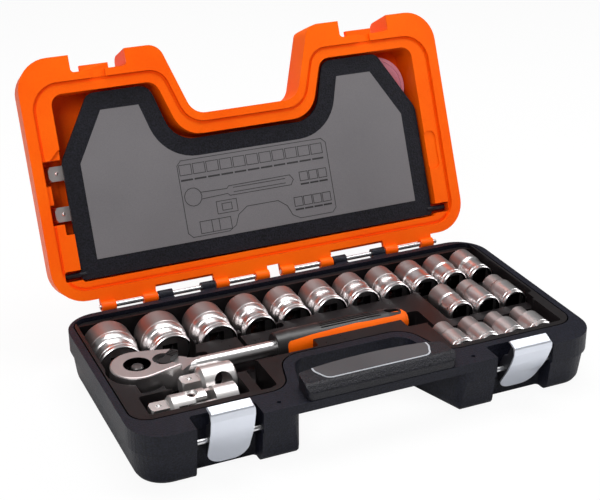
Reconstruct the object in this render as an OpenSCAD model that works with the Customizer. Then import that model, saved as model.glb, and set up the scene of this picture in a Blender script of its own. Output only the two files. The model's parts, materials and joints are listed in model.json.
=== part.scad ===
/* [Case] */
// Width of the closed case, left to right
case_w = 395; // [390:1:480]
// Depth of the case, latch side to hinge side
case_d = 207.4; // [206:0.2:250]
// Height of the base, floor to rim
base_h = 46.5; // [45:0.5:56]
// Height of the lid above the rim
lid_h = 38; // [37:0.5:46]
// Corner radius of both shells in plan
corner_r = 28; // [20:1:34]
// Wall of the lid shell
lid_wall = 3; // [2:0.1:4]
// Floor of the base shell
base_floor = 3; // [2:0.1:4]
// Rounding of the outer edges of floor and lid top
edge_r = 8; // [3:0.5:9]
// Height of the rim band that stands proud of the lower base
rim_band = 17.5; // [14:0.5:20]
// How far the lid leans open from closed, in degrees
lid_open = 113.2; // [95:0.1:120]

/* [Handle] */
// Half width of the handle recess at its back
recess_w = 49.5; // [44:0.5:54]
// Depth of the handle recess from the front edge
recess_d = 64.3; // [58:0.1:70]
// Gap between the ends of the handle bar and the recess at the front edge
handle_gap = 6.8; // [3:0.1:9]
// Depth of the handle bar, front to back
handle_d = 29; // [24:0.5:32]
// How far the handle bar stands above the rim
handle_h = 11.5; // [8:0.5:14]

/* [Hinge] */
// Hinge rod diameter
rod_d = 4; // [3:0.1:5]
// Outer diameter of the hinge knuckles
knuckle_d = 8.8; // [8:0.1:10]
// Distance of the hinge axis behind the back edge
hinge_out = 7.4; // [7:0.1:9]

/* [Latches] */
// Distance of each latch from the middle of the case
latch_x = 126; // [118:1:132]
// Width of the notch that a latch swings in
notch_w = 52; // [46:1:56]
// Width of the latch plate
latch_w = 35; // [30:1:38]
// How far the left latch hangs open, in degrees
latch_left_open = 13; // [10:1:26]
// How far the right latch hangs open, in degrees
latch_right_open = 22; // [10:1:26]
// Latch pin diameter
pin_d = 4; // [3:0.1:5]

/* [Tools] */
// Square drive of the set, across flats
drive = 12.7; // [9.5:0.1:12.7]
// Length of the short sockets
socket_l = 40; // [33:0.5:41]
// Length of the large sockets
long_l = 44; // [40:0.5:46]
// Gap between neighbouring sockets in the back row
socket_gap = 2.5; // [1.5:0.1:3]
// Overall length of the ratchet
ratchet_l = 258; // [250:1:262]
// Radius of the ratchet head
head_r = 21.5; // [18:0.5:23]
// Thickness of the ratchet head
head_t = 24; // [20:0.5:26]
// Radius of the ratchet shank
shank_r = 6.2; // [5:0.1:8]
// Radius of the ratchet grip
grip_r = 12.8; // [10:0.1:13.5]
// Outer radius of the universal joint
joint_r = 11.5; // [10.5:0.1:12]
// Outer radius of the sliding head
slider_r = 13; // [11:0.1:13.5]
// Length of the long extension bar
long_bar_l = 250; // [200:1:260]
// Length of the short extension bar
short_bar_l = 125; // [100:1:130]

/* [Fits] */
// Clearance round tools in the tray and round moving pieces
fit = 0.3; // [0.2:0.05:0.5]
// Running clearance of pins and rods in their bores
run = 0.05; // [0.02:0.01:0.1]
// Gap between the tray and the rim of the base
seam = 1.2; // [0.8:0.1:2]

/* [Hidden] */

eps = 0.01;
big = 600;
hinge_y = case_d / 2 + hinge_out;
front = -case_d / 2;
back = case_d / 2;
draft = 2.5;          // lean of the outer walls, floor to rim
band_step = 1.8;      // the rim band stands this far proud
arc_step = 9;         // degrees per facet of a rounded outline
recess_y = front + recess_d;
recess_lean = 1 / 3;  // the recess widens this much per millimetre towards the front
recess_front = recess_w + recess_d * recess_lean;

// ---- outlines: lists of corners [x, y, radius], counter-clockwise ----
function unit(v) = v / norm(v);
function flat(p) = [p[0], p[1]];
function corner(a, b, c) =
    b[2] <= 0 ? [flat(b)] :
    let (u = unit(flat(a) - flat(b)), v = unit(flat(c) - flat(b)),
        half = acos(min(1, max(-1, u * v))) / 2,
        centre = flat(b) + unit(u + v) * b[2] / sin(half),
        p = flat(b) + u * b[2] / tan(half) - centre,
        q = flat(b) + v * b[2] / tan(half) - centre,
        a0 = atan2(p[1], p[0]),
        turn = (atan2(q[1], q[0]) - a0 + 900) % 360 - 180,
        n = max(2, ceil((180 - 2 * half) / arc_step - 0.1)))
    [for (i = [0:n]) centre + b[2] * [cos(a0 + turn * i / n), sin(a0 + turn * i / n)]];
function rounded(p) = let (n = len(p))
    [for (i = [0:n - 1]) each corner(p[(i + n - 1) % n], p[i], p[(i + 1) % n])];
function grown(p, g) = let (n = len(p))
    [for (i = [0:n - 1])
        let (e = unit(flat(p[i]) - flat(p[(i + n - 1) % n])),
            f = unit(flat(p[(i + 1) % n]) - flat(p[i])),
            s = [e[1] + f[1], -e[0] - f[0]],
            q = flat(p[i]) + g * s / (1 + e * f),
            convex = e[0] * f[1] - e[1] * f[0] > 0)
        [q[0], q[1], p[i][2] <= 0 ? 0 : max(0.2, p[i][2] + (convex ? g : -g))]];
function box_path(x0, y0, x1, y1, r) = [[x0, y0, r], [x1, y0, r], [x1, y1, r], [x0, y1, r]];
function mirrored_y(half) = concat(half, [for (i = [len(half) - 1:-1:0]) [half[i][0], -half[i][1], half[i][2]]]);
function mirrored(half) = concat(half, [for (i = [len(half) - 1:-1:0]) [-half[i][0], half[i][1], half[i][2]]]);

module slab(path, z0, z1) {
    translate([0, 0, z0]) linear_extrude(z1 - z0) polygon(rounded(path));
}

// A solid through convex outlines of one shape at several heights; rings = [[inset, z], ...] upwards
module loft(path, rings) {
    outlines = [for (r = rings) rounded(grown(path, -r[0]))];
    n = len(outlines[0]);
    m = len(rings);
    polyhedron(
        points = [for (k = [0:m - 1]) for (p = outlines[k]) [p[0], p[1], rings[k][1]]],
        faces = concat([[for (i = [0:n - 1]) i]],
            [for (k = [0:m - 2]) for (i = [0:n - 1])
                [k * n + i, (k + 1) * n + i, (k + 1) * n + (i + 1) % n, k * n + (i + 1) % n]],
            [[for (i = [n - 1:-1:0]) (m - 1) * n + i]]));
}

rim_path = box_path(-case_w / 2, front, case_w / 2, back, corner_r);
// The handle recess in the front edge, with rounded front corners
recess_path = [[-recess_front - 30, front - 30, 0], [recess_front + 30, front - 30, 0],
    [recess_front + 30, front, 0], [recess_front, front, 14], [recess_w, recess_y, 16],
    [-recess_w, recess_y, 16], [-recess_front, front, 14], [-recess_front - 30, front, 0]];
// The same recess without those corners
recess_core = [[-recess_front - 40 * recess_lean, front - 40, 0], [recess_front + 40 * recess_lean, front - 40, 0],
    [recess_w, recess_y, 16], [-recess_w, recess_y, 16]];
// One quarter of a rounded edge, as [inset, rise] pairs from the flat face outwards
edge_rings = [for (a = [0:22.5:90]) [edge_r * (1 - sin(a)), edge_r * (1 - cos(a))]];

// ---- base ----
tray_side = 6.5;      // width of the rim beside the tray
tray_front = front + 26.3;
tray_back = back - 6.5;
tray_recess = recess_y + 9;
function recess_edge(y, off) = recess_w + off + (recess_y - y) * recess_lean;
tray_path = mirrored([
    [-case_w / 2 + tray_side, tray_back, 14],
    [-case_w / 2 + tray_side, tray_front, 16],
    [-recess_edge(tray_front, 6.5), tray_front, 18],
    [-recess_edge(tray_recess, 9.5), tray_recess, 22]]);
notch_back = front + 18.7;
web_d = 14;           // depth of the web under the handle bar
web_t = 7.8;          // its thickness
pivot_y = front + 7.8;
pivot_z = 30;
knuckle_l = 12.5;
// Left ends of the knuckles of one rod, counted from the middle of the case outwards
lid_knuckles = [6, 44.5, 110.3, 147.5];
base_knuckles = [57.5, 96.5];
flanges = [[lid_knuckles[0], lid_knuckles[1] + knuckle_l], [lid_knuckles[2], lid_knuckles[3] + knuckle_l]];

module at_hinge(x, l) {
    translate([x, hinge_y, base_h]) rotate([0, 90, 0]) cylinder(d = l[0], h = l[1], $fn = 48);
}
module knuckle(x, len, foot_y, foot_z) {
    at_hinge(x, [knuckle_d, len]);
    translate([x, foot_y, base_h + min(0, foot_z)]) cube([len, hinge_y - foot_y, abs(foot_z)]);
}
module latch_notches(extra, depth, z0, z1) {
    for (s = [-1, 1]) slab(box_path(s * latch_x - notch_w / 2 - extra, front - 20,
        s * latch_x + notch_w / 2 + extra, depth, 3), z0, z1);
}
module base_shell() color([0.16, 0.17, 0.2]) difference() {
    union() {
        loft(rim_path, concat([for (e = edge_rings) [draft + band_step + e[0], e[1]]],
            [[band_step, base_h - rim_band + eps]]));
        slab(rim_path, base_h - rim_band, base_h);
        for (s = [-1, 1]) for (k = base_knuckles)
            knuckle(s > 0 ? k : -k - knuckle_l, knuckle_l, back - 3, -knuckle_d / 2);
    }
    slab(grown(tray_path, seam / 2), base_floor, base_h + 1);
    slab(recess_path, -1, base_h - web_t);
    // the foot's rounded edge runs on round the recess
    loft(recess_core, concat([[-edge_r - 1, -1]], [for (e = edge_rings) [-e[0], e[1] - eps]]));
    slab([[-recess_edge(front + web_d, -3), front + web_d, 5], [recess_edge(front + web_d, -3), front + web_d, 5],
        [recess_w - 1, recess_y, 15], [-recess_w + 1, recess_y, 15]], base_h - web_t - 1, base_h + 1);
    latch_notches(0, notch_back, -1, base_h + 1);
    for (s = [-1, 1]) {
        translate([s * latch_x, pivot_y, pivot_z]) rotate([0, 90, 0])
            cylinder(d = pin_d, h = notch_w + 12, center = true, $fn = 32);
        translate([s * 83.5, front + 10, base_h - 5]) cylinder(d = 3.4, h = 6, $fn = 24);
    }
    for (s = [-1, 1]) for (k = lid_knuckles)
        at_hinge((s > 0 ? k : -k - knuckle_l) - fit, [knuckle_d + 2 * fit + 0.4, knuckle_l + 2 * fit]);
    at_hinge(-case_w / 2, [rod_d + 2 * run, case_w]);
}

module hinge_rod_left() color([0.78, 0.79, 0.8]) at_hinge(-161.5, [rod_d, 156]);
module hinge_rod_right() color([0.78, 0.79, 0.8]) at_hinge(5.5, [rod_d, 158.5]);

// ---- sockets ----
af_back = [32, 30, 27, 24, 23, 22, 21, 20, 19, 18, 17];
af_middle = [16, 15, 14];
af_front = [13, 12, 11, 10];
function hex_r(af) = (1.25 * af + 2.9) / 2;
function drive_r(af) = (af < 18 ? 23 : af < 23 ? hex_r(af) * 2 - 0.5 : hex_r(af) * 1.8) / 2;
function len_of(af) = af >= 24 ? long_l : socket_l;
function widest(af) = max(hex_r(af), drive_r(af));
tops = base_h + 1.2;
row_x0 = -case_w / 2 + 32;     // the largest socket lies in the back left corner
function row_x(i) = i == 0 ? row_x0
    : row_x(i - 1) + widest(af_back[i - 1]) + widest(af_back[i]) + socket_gap;
back_row_y = back - 20;
middle_row_y = back_row_y - socket_l - 15.7;
front_row_y = front + 73.5;
middle_pitch = 26.5;
front_pitch = 24.7;
middle_x = [for (i = [2:-1:0]) case_w / 2 - 23 - i * middle_pitch];
front_x = [for (i = [3:-1:0]) case_w / 2 - 33.4 - i * front_pitch];
// Every socket as [across flats, x, y of its hex end]
seats = concat(
    [for (i = [0:len(af_back) - 1]) [af_back[i], row_x(i), back_row_y]],
    [for (i = [0:len(af_middle) - 1]) [af_middle[i], middle_x[i], middle_row_y]],
    [for (i = [0:len(af_front) - 1]) [af_front[i], front_x[i], front_row_y]]);
function seat_z(af) = tops - widest(af);

// Half profile of a socket as [radius, distance from the hex end]
function socket_profile(af) =
    let (r = hex_r(af), d = drive_r(af), l = len_of(af), waist = min(r, d) * 0.9)
    af >= 20 ? concat(
        [[r - 0.8, 0], [r, 0.8], [r, l * 0.45]],
        [for (a = [0:15:75]) [waist + (r - 0.3 - waist) * cos(a), l * (0.46 + 0.18 * sin(a))]],
        [[waist, l * 0.7], [d - 1.2, l * 0.78], [d - 0.3, l * 0.81]]) :
    r > d - 0.4 || af > 16 ? [[r - 0.8, 0], [r, 0.8], [r, l * 0.46], [r - 0.7, l * 0.5],
        [d - 0.5, l * 0.56], [d - 0.5, l * 0.78], [d - 0.2, l * 0.8]] :
    af == 16 ? [[r - 0.7, 0], [r, 0.7], [r, l * 0.7], [d, l * 0.74]] :
        [[r - 0.7, 0], [r, 0.7], [r, l * (af < 14 ? 0.36 : 0.3)], [d, l * (af < 14 ? 0.44 : 0.38)],
        [d, l * 0.8]];
module socket(af) {
    seat = [for (s = seats) if (s[0] == af) s][0];
    r = hex_r(af);
    d = drive_r(af);
    l = len_of(af);
    bore = min(drive + 0.25, af - 0.3);
    translate([seat[1], seat[2], seat_z(af)]) rotate([90, 0, 0]) difference() {
        rotate_extrude($fn = 64) polygon(concat([[0, 0]], socket_profile(af),
            [[d, l * 0.83], [d, l * 0.88], [d - 0.4, l * 0.89], [d - 0.4, l * 0.91], [d, l * 0.92],
            [d, l - 0.8], [d - 0.8, l], [0, l]]));
        translate([0, 0, -1]) rotate([0, 0, 30]) cylinder(d = af / cos(30), h = l * 0.42 + 1, $fn = 6);
        translate([0, 0, -eps]) cylinder(r1 = min(r - 1, af / 2 / cos(30) + 0.2), r2 = af / 2, h = 1.6, $fn = 48);
        cylinder(d = bore, h = l * 0.6, $fn = 48);
        translate([-drive / 2 - 0.12, -drive / 2 - 0.12, l * 0.55]) cube([drive + 0.25, drive + 0.25, l]);
        translate([0, 0, l - (af > 22 ? 7 : 4)]) cylinder(r = d - 1.8, h = 8, $fn = 48);
        translate([0, 0, l - 0.8]) cylinder(r1 = d - 1.8, r2 = d - 1, h = 0.81, $fn = 48);
    }
}

// ---- ratchet ----
ratchet_x = -case_w / 2 + 11.7;
ratchet_y = back_row_y - 85.7;
ratchet_z = 38.5;
head_x = ratchet_x + head_r;
head_top = ratchet_z + head_t / 2;
drive_bore_r = 10.8;
drive_sink = 7.4;     // the drive disc lies this far below the top of the head
lever_dx = 21.8;      // the lever recess lies this far along from the drive
lever_bore_r = 9;
lever_sink = 6.2;     // depth of that recess, down to the top of the pawl
lever_turn = 40;      // the lever rests this far round from the line of the ratchet
lever_w = 6;
lever_reach = 16;
button_r = 5;
button_stem_r = 3.4;
button_travel = 1.5;
grip_x = ratchet_x + 136.8;
grip_end = ratchet_x + ratchet_l;
module at_ratchet() {
    translate([0, ratchet_y, ratchet_z]) rotate([0, 90, 0]) children();
}
// The head in plan: a circle round the drive that narrows to a blunt point over the shank
neck_x = 31;
neck_half = 14;
head_path = mirrored_y([[-head_r, -head_r, head_r], [2.9, -head_r, head_r], [neck_x, -neck_half, 3],
    [neck_x + 11.5, -shank_r + 0.5, 1.5]]);
// A point beside the lever, r along it from its pivot, with the lever turned to side s
function lever_side(r, s) = [r * cos(lever_turn) - (lever_w / 2 + fit) * sin(lever_turn),
    s * (r * sin(lever_turn) + (lever_w / 2 + fit) * cos(lever_turn))];
module ratchet_body() color([0.62, 0.6, 0.6]) difference() {
    union() {
        translate([head_x, ratchet_y, ratchet_z]) loft(head_path, [
            [2.5, -head_t / 2], [0, -head_t / 2 + 2.5], [0, head_t / 2 - 1.2],
            [0.4, head_t / 2 - 0.4], [1.2, head_t / 2]]);
        translate([head_x + neck_x - 4, 0, 0]) at_ratchet() cylinder(r1 = 11, r2 = shank_r, h = 20, $fn = 48);
        translate([head_x + neck_x - 4, 0, 0]) at_ratchet()
            cylinder(r = shank_r, h = grip_x - head_x - neck_x + 64, $fn = 48);
    }
    translate([head_x, ratchet_y, ratchet_z - head_t / 2 - 1]) cylinder(r = drive_bore_r, h = head_t + 2, $fn = 64);
    translate([head_x + lever_dx, ratchet_y, ratchet_z - head_t / 2 + 4])
        cylinder(r = lever_bore_r, h = head_t, $fn = 48);
    // the lever sweeps out over the neck
    translate([head_x + lever_dx, ratchet_y, head_top - lever_sink]) linear_extrude(10)
        polygon([lever_side(0, -1), lever_side(26, -1), [30, -8], [30, 8], lever_side(26, 1), lever_side(0, 1)]);
}
module ratchet_drive() color([0.1, 0.1, 0.11]) translate([head_x, ratchet_y, 0]) difference() {
    union() {
        translate([0, 0, ratchet_z - head_t / 2 + 0.6])
            cylinder(r = drive_bore_r - fit / 3, h = head_t - drive_sink - 0.6, $fn = 64);
        translate([-drive / 2, -drive / 2, ratchet_z - head_t / 2 - 12]) cube([drive, drive, 13]);
    }
    translate([0, 0, head_top - 16]) cylinder(r = button_stem_r + run, h = 16, $fn = 32);
    translate([0, 0, ratchet_z - head_t / 2 - 8]) rotate([0, 90, 0]) cylinder(r = 1.9, h = 20, $fn = 24);
}
module drive_ball() color([0.8, 0.8, 0.8])
    translate([head_x + drive / 2 - 0.9, ratchet_y, ratchet_z - head_t / 2 - 8]) sphere(r = 1.7, $fn = 24);
module release_button() color([0.2, 0.2, 0.21]) translate([head_x, ratchet_y, head_top]) rotate_extrude($fn = 48)
    polygon([[0, -16 + button_travel + 0.5], [button_stem_r, -16 + button_travel + 0.5],
        [button_stem_r, -drive_sink + button_travel + 1], [button_r, -drive_sink + button_travel + 1.4],
        [button_r, -2.2], [button_r - 0.8, -1.4], [0, -1.2]]);
module head_cap() color([0.72, 0.72, 0.73]) translate([head_x, ratchet_y, head_top - drive_sink + 0.2]) difference() {
    cylinder(r = drive_bore_r - run, h = 0.9, $fn = 64);
    translate([0, 0, -1]) cylinder(r = drive_bore_r - 1.8, h = 3, $fn = 48);
}
module ratchet_pawl() color([0.7, 0.7, 0.7]) translate([head_x + lever_dx, ratchet_y, ratchet_z - head_t / 2 + 4])
    difference() {
        cylinder(r = lever_bore_r - fit / 3, h = head_t - 4 - lever_sink - 0.3, $fn = 48);
        translate([0, 0, 4]) cylinder(r = 3.2, h = head_t, $fn = 32);
    }
module reverse_lever() color([0.12, 0.12, 0.13])
    translate([head_x + lever_dx, ratchet_y, head_top - lever_sink]) rotate([0, 0, lever_turn]) {
        translate([0, 0, 0.3]) cylinder(r = 4.6, h = 4.4, $fn = 48);
        translate([0, 0, -8]) cylinder(r = 3, h = 9, $fn = 32);
        translate([0, -lever_w / 2, 0.3]) cube([lever_reach, lever_w, 4.4]);
        translate([lever_reach, 0, 0.3]) cylinder(r = lever_w / 2, h = 4.4, $fn = 32);
        // ribs for the thumb
        for (i = [0:3]) translate([9 + 2.2 * i, -lever_w / 2, 4.6]) cube([1.1, lever_w, 0.9]);
    }
// Grip profile as [radius, x from the collar]
grip_profile = [[11.4, 0], [12.2, 0.8], [12.4, 8], [grip_r, 13], [grip_r, 84], [grip_r - 1, 104],
    [10, 117], [7, 121.2], [0, 122]];
grip_scale = (grip_end - grip_x) / 122;
module grip_form(inset) {
    translate([grip_x, 0, 0]) at_ratchet() rotate_extrude($fn = 64)
        polygon(concat([[0, 0]], [for (p = grip_profile) [max(0, p[0] - inset), p[1] * grip_scale]]));
}
// The soft insert: a band along the near flank that runs over the end of the grip
module insert_zone() {
    translate([grip_x, ratchet_y, ratchet_z]) rotate([90, 0, 0]) linear_extrude(grip_r + 2)
        polygon(rounded([[8, -14, 0], [40, -14, 0], [90, -9, 12], [130, -14, 0], [130, 20, 0], [116, 20, 0],
            [116, 8.8, 3], [96, 9.8, 20], [70, 10.6, 30], [30, 9.6, 30], [8, 8.2, 4]]));
}
module ratchet_grip() color([0.15, 0.15, 0.16]) difference() {
    grip_form(0);
    intersection() { grip_form(-1); difference() { insert_zone(); grip_form(2); } }
    translate([grip_x - 1, 0, 0]) at_ratchet() cylinder(r = shank_r + run, h = 61, $fn = 48);
    translate([grip_end - 14, ratchet_y, ratchet_z]) linear_extrude(40)
        polygon(rounded(box_path(-7, -3.2, 6.5, 3.2, 3.1)));
    // fine ribs along the top
    for (y = [-4.8:2.4:4.8])
        translate([grip_x + 40, ratchet_y + y - 0.6, ratchet_z + sqrt(pow(grip_r, 2) - pow(y, 2)) - 0.8])
            cube([grip_end - 26 - grip_x - 40, 1.2, 4]);
}
module grip_insert() color([0.95, 0.4, 0.05]) difference() {
    intersection() { grip_form(0); insert_zone(); }
    grip_form(2);
}

// ---- universal joint and sliding head ----
joint_x = -case_w / 2 + 25;
joint_y = front + 47.3;
joint_z = 37;
cross_x = joint_x + 32.9;
ear_gap = 7.2;        // half width of the slot between the ears of the drive fork
ear_w = 12.4;         // width of those ears past the pin
module along(x, y, z) { translate([x, y, z]) rotate([0, 90, 0]) children(); }
module upright(r, h) { translate([cross_x, joint_y, joint_z]) cylinder(r = r, h = h, center = true, $fn = 32); }
module across(r, h) {
    translate([cross_x, joint_y, joint_z]) rotate([90, 0, 0]) cylinder(r = r, h = h, center = true, $fn = 32);
}
// A male square along X with a rounded nose and a ball held in its top face
module drive_square(x, y, z, l) {
    difference() {
        intersection() {
            translate([x, y - drive / 2, z - drive / 2]) cube([l, drive, drive]);
            along(x, y, z) cylinder(r1 = drive * 0.55, r2 = drive * 0.55 + 20, h = 20, $fn = 48);
        }
        translate([x + 7, y, z + drive / 2 - 1]) cylinder(r = 2.6, h = 3, $fn = 24);
    }
    translate([x + 7, y, z + drive / 2 - 1.4]) sphere(r = 1.9, $fn = 24);
}
module joint_drive_fork() color([0.75, 0.74, 0.74]) {
    drive_square(joint_x, joint_y, joint_z, 15);
    difference() {
        union() {
            along(joint_x + 14, joint_y, joint_z) cylinder(r1 = 9, r2 = joint_r, h = 2.5, $fn = 48);
            along(joint_x + 16.5 - eps, joint_y, joint_z) cylinder(r = joint_r, h = 27, $fn = 48);
        }
        translate([cross_x - 12.6, joint_y - 15, joint_z - ear_gap]) cube([40, 30, 2 * ear_gap]);
        // the ears narrow past the pin, so that the other fork's ears pass beside them
        for (s = [-1, 1]) translate([cross_x + 1, joint_y + (s > 0 ? ear_w / 2 : -ear_w / 2 - 10), joint_z - 15])
            cube([20, 10, 30]);
        upright(3 + run, 40);
        translate([cross_x, joint_y, joint_z + joint_r - 2.6]) cylinder(r = 5.2, h = 4, $fn = 32);
    }
}
module joint_cross() color([0.12, 0.12, 0.12]) difference() {
    translate([cross_x - 5.4, joint_y - 6.2, joint_z - 6.9]) cube([10.8, 12.4, 13.8]);
    upright(3, 40);
    across(2.2, 40);
}
module joint_pins() color([0.1, 0.1, 0.1]) difference() {
    upright(3, 2 * joint_r - 5.4);
    translate([cross_x, joint_y, joint_z + joint_r - 4.5]) cylinder(d = 3.4, h = 5, $fn = 6);
}
module joint_side_pins() color([0.1, 0.1, 0.1]) difference() {
    across(2.2, 20.4);
    upright(3, 40);
}
module joint_socket_fork() color([0.76, 0.75, 0.75]) difference() {
    union() {
        along(cross_x + 17.5, joint_y, joint_z) cylinder(r = joint_r, h = 18, $fn = 48);
        for (s = [-1, 1]) {
            translate([cross_x, joint_y + (s > 0 ? 6.6 : -10.4), joint_z - 5.6]) cube([18, 3.8, 11.2]);
            translate([cross_x, joint_y + s * 8.5, joint_z]) rotate([90, 0, 0])
                cylinder(r = 5.6, h = 3.8, center = true, $fn = 48);
        }
    }
    across(2.2 + run, 40);
    translate([cross_x + 24, joint_y - drive / 2 - 0.15, joint_z - drive / 2 - 0.15])
        cube([30, drive + 0.3, drive + 0.3]);
}

slider_x = joint_x + 34.1;
slider_y = joint_y + 28.4;
slider_z = 37;
slider_hole_x = slider_x + 31.5;
slider_hole_r = 7.4;
slider_hole_tilt = 68; // the cross hole leans this far forward of upright
module sliding_head() color([0.78, 0.77, 0.77]) {
    drive_square(slider_x, slider_y, slider_z, 15.5);
    difference() {
        union() {
            along(slider_x + 14.4, slider_y, slider_z) cylinder(r1 = 10.5, r2 = slider_r, h = 2.5, $fn = 48);
            along(slider_x + 16.9 - eps, slider_y, slider_z) cylinder(r = slider_r, h = 25.1, $fn = 48);
            along(slider_x + 42 - 2 * eps, slider_y, slider_z)
                cylinder(r1 = slider_r, r2 = slider_r - 1.2, h = 1.2, $fn = 48);
        }
        translate([slider_hole_x, slider_y, slider_z]) rotate([slider_hole_tilt, 0, 0])
            cylinder(r = slider_hole_r, h = 60, center = true, $fn = 48);
    }
}

// ---- tray ----
terrace = 37.5;       // level of the lower shelves
trough_z = 4.5;       // bottom of the deep trough under the back row
pocket_z = 21;        // bottom of the shallower pockets
grip_pocket_z = 24;
head_bottom = ratchet_z - head_t / 2 - fit;
tray_bottom = base_floor + 0.2;
grip_front = ratchet_y - grip_r - 2 * fit;
left_end = row_x(0) - widest(af_back[0]) - 2 * fit;
right_end = case_w / 2 - 9;
row_front = back_row_y - socket_l;
module pocket(x0, y0, x1, y1, r, z, g) { slab(grown(box_path(x0, y0, x1, y1, r), g), z - g, base_h + 1); }
// Every pocket of the tray; g thickens it to leave the tray's own wall round it
module pockets(g) {
    // the trough under the back row, wider in front of the long sockets, and its lower back edge
    pocket(left_end, row_front - 12.2, row_x(2) + 12.5, back - 13.2, 4, trough_z, g);
    pocket(row_x(2) - 4, row_front - 14.2, row_x(3) + 18, back - 13.2, 4, trough_z, g);
    pocket(row_x(3) + 8, row_front - 5.5, right_end, back - 13.2, 4, trough_z, g);
    pocket(left_end, back - 30, right_end, back, 4, base_h - 3.5, g);
    // middle row and front row
    pocket(middle_x[0] - 16, middle_row_y - socket_l - 5, right_end, row_front + 16, 4, pocket_z, g);
    pocket(front_x[0] - 13, front_row_y - socket_l - 1.4, right_end - 7, front_row_y + 1.5, 3, pocket_z + 1, g);
    // ratchet: head with its square below, neck, shank, grip, and the finger pocket past its end
    translate([head_x, ratchet_y, head_bottom - g]) cylinder(r = head_r + 3.5 + g, h = 40, $fn = 64);
    translate([head_x, ratchet_y, head_bottom - 15.2 - g]) cylinder(r = 11.5 + g, h = 40, $fn = 48);
    pocket(left_end, ratchet_y + 6, head_x + 55, row_front + 16, 4, pocket_z - 1, g);
    pocket(head_x + 4, ratchet_y - 16, head_x + 64, ratchet_y + 20, 4, head_bottom, g);
    pocket(head_x + 52, ratchet_y - 26, grip_x + 29, ratchet_y + 10, 4, head_bottom, g);
    pocket(grip_x - 3, grip_front, grip_end + 2, ratchet_y + grip_r + 1, 4, grip_pocket_z, g);
    pocket(grip_end - 12, ratchet_y - 27, grip_end + 17, ratchet_y + 11, 3, grip_pocket_z, g);
    // universal joint and sliding head, and the finger pocket beside them
    pocket(joint_x - 4.5, joint_y - 14.6, joint_x + 75.5, joint_y + 13.4, 3, pocket_z, g);
    pocket(slider_x - 11.6, slider_y - 18, slider_x + 45.4, slider_y + 15, 3, pocket_z, g);
    pocket(joint_x + 88.5, joint_y - 14.6, joint_x + 98, joint_y + 29.4, 4, pocket_z, g);
    // lower shelves
    pocket(head_x + 55.5, ratchet_y + 6, middle_x[0] - 13.5, row_front, 3, terrace, g);
    pocket(front_x[0] - 6, front_row_y + 1.2, right_end - 5.5, middle_row_y - 8, 3, terrace, g);
    pocket(joint_x - 0.5, joint_y + 14.4, joint_x + 32.5, joint_y + 41.4, 3, terrace + 1.5, g);
    pocket(joint_x + 76.5, joint_y - 15.6, joint_x + 94.5, joint_y + 38.4, 3, terrace + 1.5, g);
}
// Ribs across a row's pocket with a round seat under each of its sockets
module row_ribs(row_y, back_rib, front_rib, thick, x0, x1, z) {
    for (d = [back_rib, front_rib]) difference() {
        translate([x0, row_y - d - thick / 2, z - 1]) cube([x1 - x0, thick, seat_z(af_back[0]) + 5 - z]);
        for (s = seats) if (s[2] == row_y) translate([s[1], row_y - d + thick, seat_z(s[0])]) rotate([90, 0, 0])
            cylinder(r = (d == back_rib ? hex_r(s[0]) : drive_r(s[0])) + fit, h = 2 * thick, $fn = 64);
    }
}
// A cusp of the shelf that reaches in between two sockets of the back row
module cusp(x, y) {
    translate([x, y, trough_z - 1]) linear_extrude(terrace - trough_z + 1)
        polygon([[-4.5, -1], [4.5, -1], [1.6, 2.2], [0, 5.5], [-1.6, 2.2]]);
}
module cradles() {
    row_ribs(back_row_y, 8, 34, 5, left_end - 1, right_end + 1, trough_z);
    row_ribs(middle_row_y, 5, 36, 4, middle_x[0] - 17, right_end + 1, pocket_z);
    row_ribs(front_row_y, 6, 36, 4, front_x[0] - 14, right_end - 6, pocket_z + 1);
    for (i = [3:len(af_back) - 3]) cusp(row_x(i) + widest(af_back[i]) + socket_gap / 2, row_front - 5.5);
    for (x = [grip_x + 29, grip_x + 94]) difference() {
        translate([x, grip_front - 1, grip_pocket_z - 1]) cube([5, 2 * grip_r + 3, 12]);
        grip_form(-fit);
    }
    for (x = [joint_x + 18, joint_x + 58]) difference() {
        translate([x, joint_y - 15, pocket_z - 1]) cube([5, 29, 12]);
        along(x - 1, joint_y, joint_z) cylinder(r = joint_r + fit, h = 8, $fn = 48);
    }
    for (x = [slider_x + 18, slider_x + 37]) difference() {
        translate([x, slider_y - 14, pocket_z - 1]) cube([4, 24, 12]);
        along(x - 1, slider_y, slider_z) cylinder(r = slider_r + fit, h = 8, $fn = 48);
    }
}
module tool_tray() color([0.24, 0.22, 0.22]) {
    difference() {
        slab(grown(tray_path, -seam / 2), tray_bottom, base_h);
        pockets(0);
        // slot between the shelves in front of the long sockets
        pocket(row_x(2) + 11, ratchet_y + 8, row_x(2) + 14.5, row_front - 8, 1, terrace - 7, 0);
    }
    cradles();
}

// ---- lid: modelled closed, then swung open about the hinge ----
module opened() {
    translate([0, hinge_y, base_h]) rotate([-lid_open, 0, 0]) translate([0, -hinge_y, -base_h]) children();
}
lid_top = base_h + lid_h;
panel_depth = 5.5;
panel_t = 3;
panel_shift = -1.2;   // the panel sits this far left of the middle
ledge_depth = 1.6;
groove_depth = 3.4;
groove_w = 2.8;
ring_front = front + 21.3;
ring_path = mirrored([
    [-case_w / 2 + 9.5, back - 8.5, 20],
    [-case_w / 2 + 9.5, ring_front, 24], [-recess_edge(ring_front, 7.3), ring_front, 18],
    [-recess_edge(recess_y + 7, 7.3), recess_y + 7, 22]]);
cavity_front = front + 31.3;
cavity_side = case_w / 2 - 26.2;
cavity_path = mirrored([
    [-cavity_side, back - 16, 4],
    [-cavity_side, cavity_front, 10], [-recess_edge(cavity_front, 18.2), cavity_front, 12],
    [-recess_edge(recess_y + 17.5, 18.2), recess_y + 17.5, 26]]);
pin_v = 30;            // the panel's pins lie this far from the hinge
panel_pin_d = 5;
bar_v = [118, 83];
bar_depth = 23.7;
bar_x = -cavity_side - 9.7;
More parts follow.
